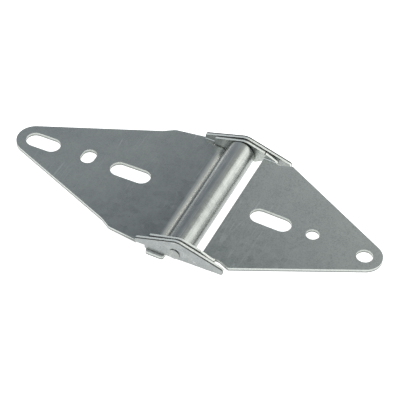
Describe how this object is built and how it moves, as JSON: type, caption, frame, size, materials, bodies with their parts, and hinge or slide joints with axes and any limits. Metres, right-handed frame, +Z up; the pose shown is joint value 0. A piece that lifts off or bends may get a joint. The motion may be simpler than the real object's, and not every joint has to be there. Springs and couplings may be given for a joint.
{
  "type": "garage door hinge",
  "caption": "Folded sheet-steel hinge for door sections: two tapered, slotted leaves turning on a headed pin in a rolled barrel, with side ears and stop lugs.",
  "frame": {"origin": "under the middle of the hinge's outline, on the level of the barrel's underside", "axes": "+X along the leaves, from the barrel leaf's tip to the swing leaf's tip; +Y along the pin; +Z up, out of the door face"},
  "size_m": [0.19, 0.0814, 0.0146],
  "materials": {
    "barrel_leaf_steel": "galvanised, dull grey with faint mottling",
    "swing_leaf_steel": "galvanised, dull grey with a fine grain",
    "pin_steel": "zinc plated, satin"
  },
  "bodies": {
    "barrel_side": {"barrel_leaf": "barrel_leaf_steel", "hinge_pin": "pin_steel"},
    "swing_side": {"swing_leaf": "swing_leaf_steel"}
  },
  "joints": [
    {"name": "leaf_fold", "type": "hinge", "parent": "barrel_side", "child": "swing_side", "pos_m": [0.0074, 0, 0.007], "axis": [0, -1, 0], "range_deg": [0, 95]}
  ]
}
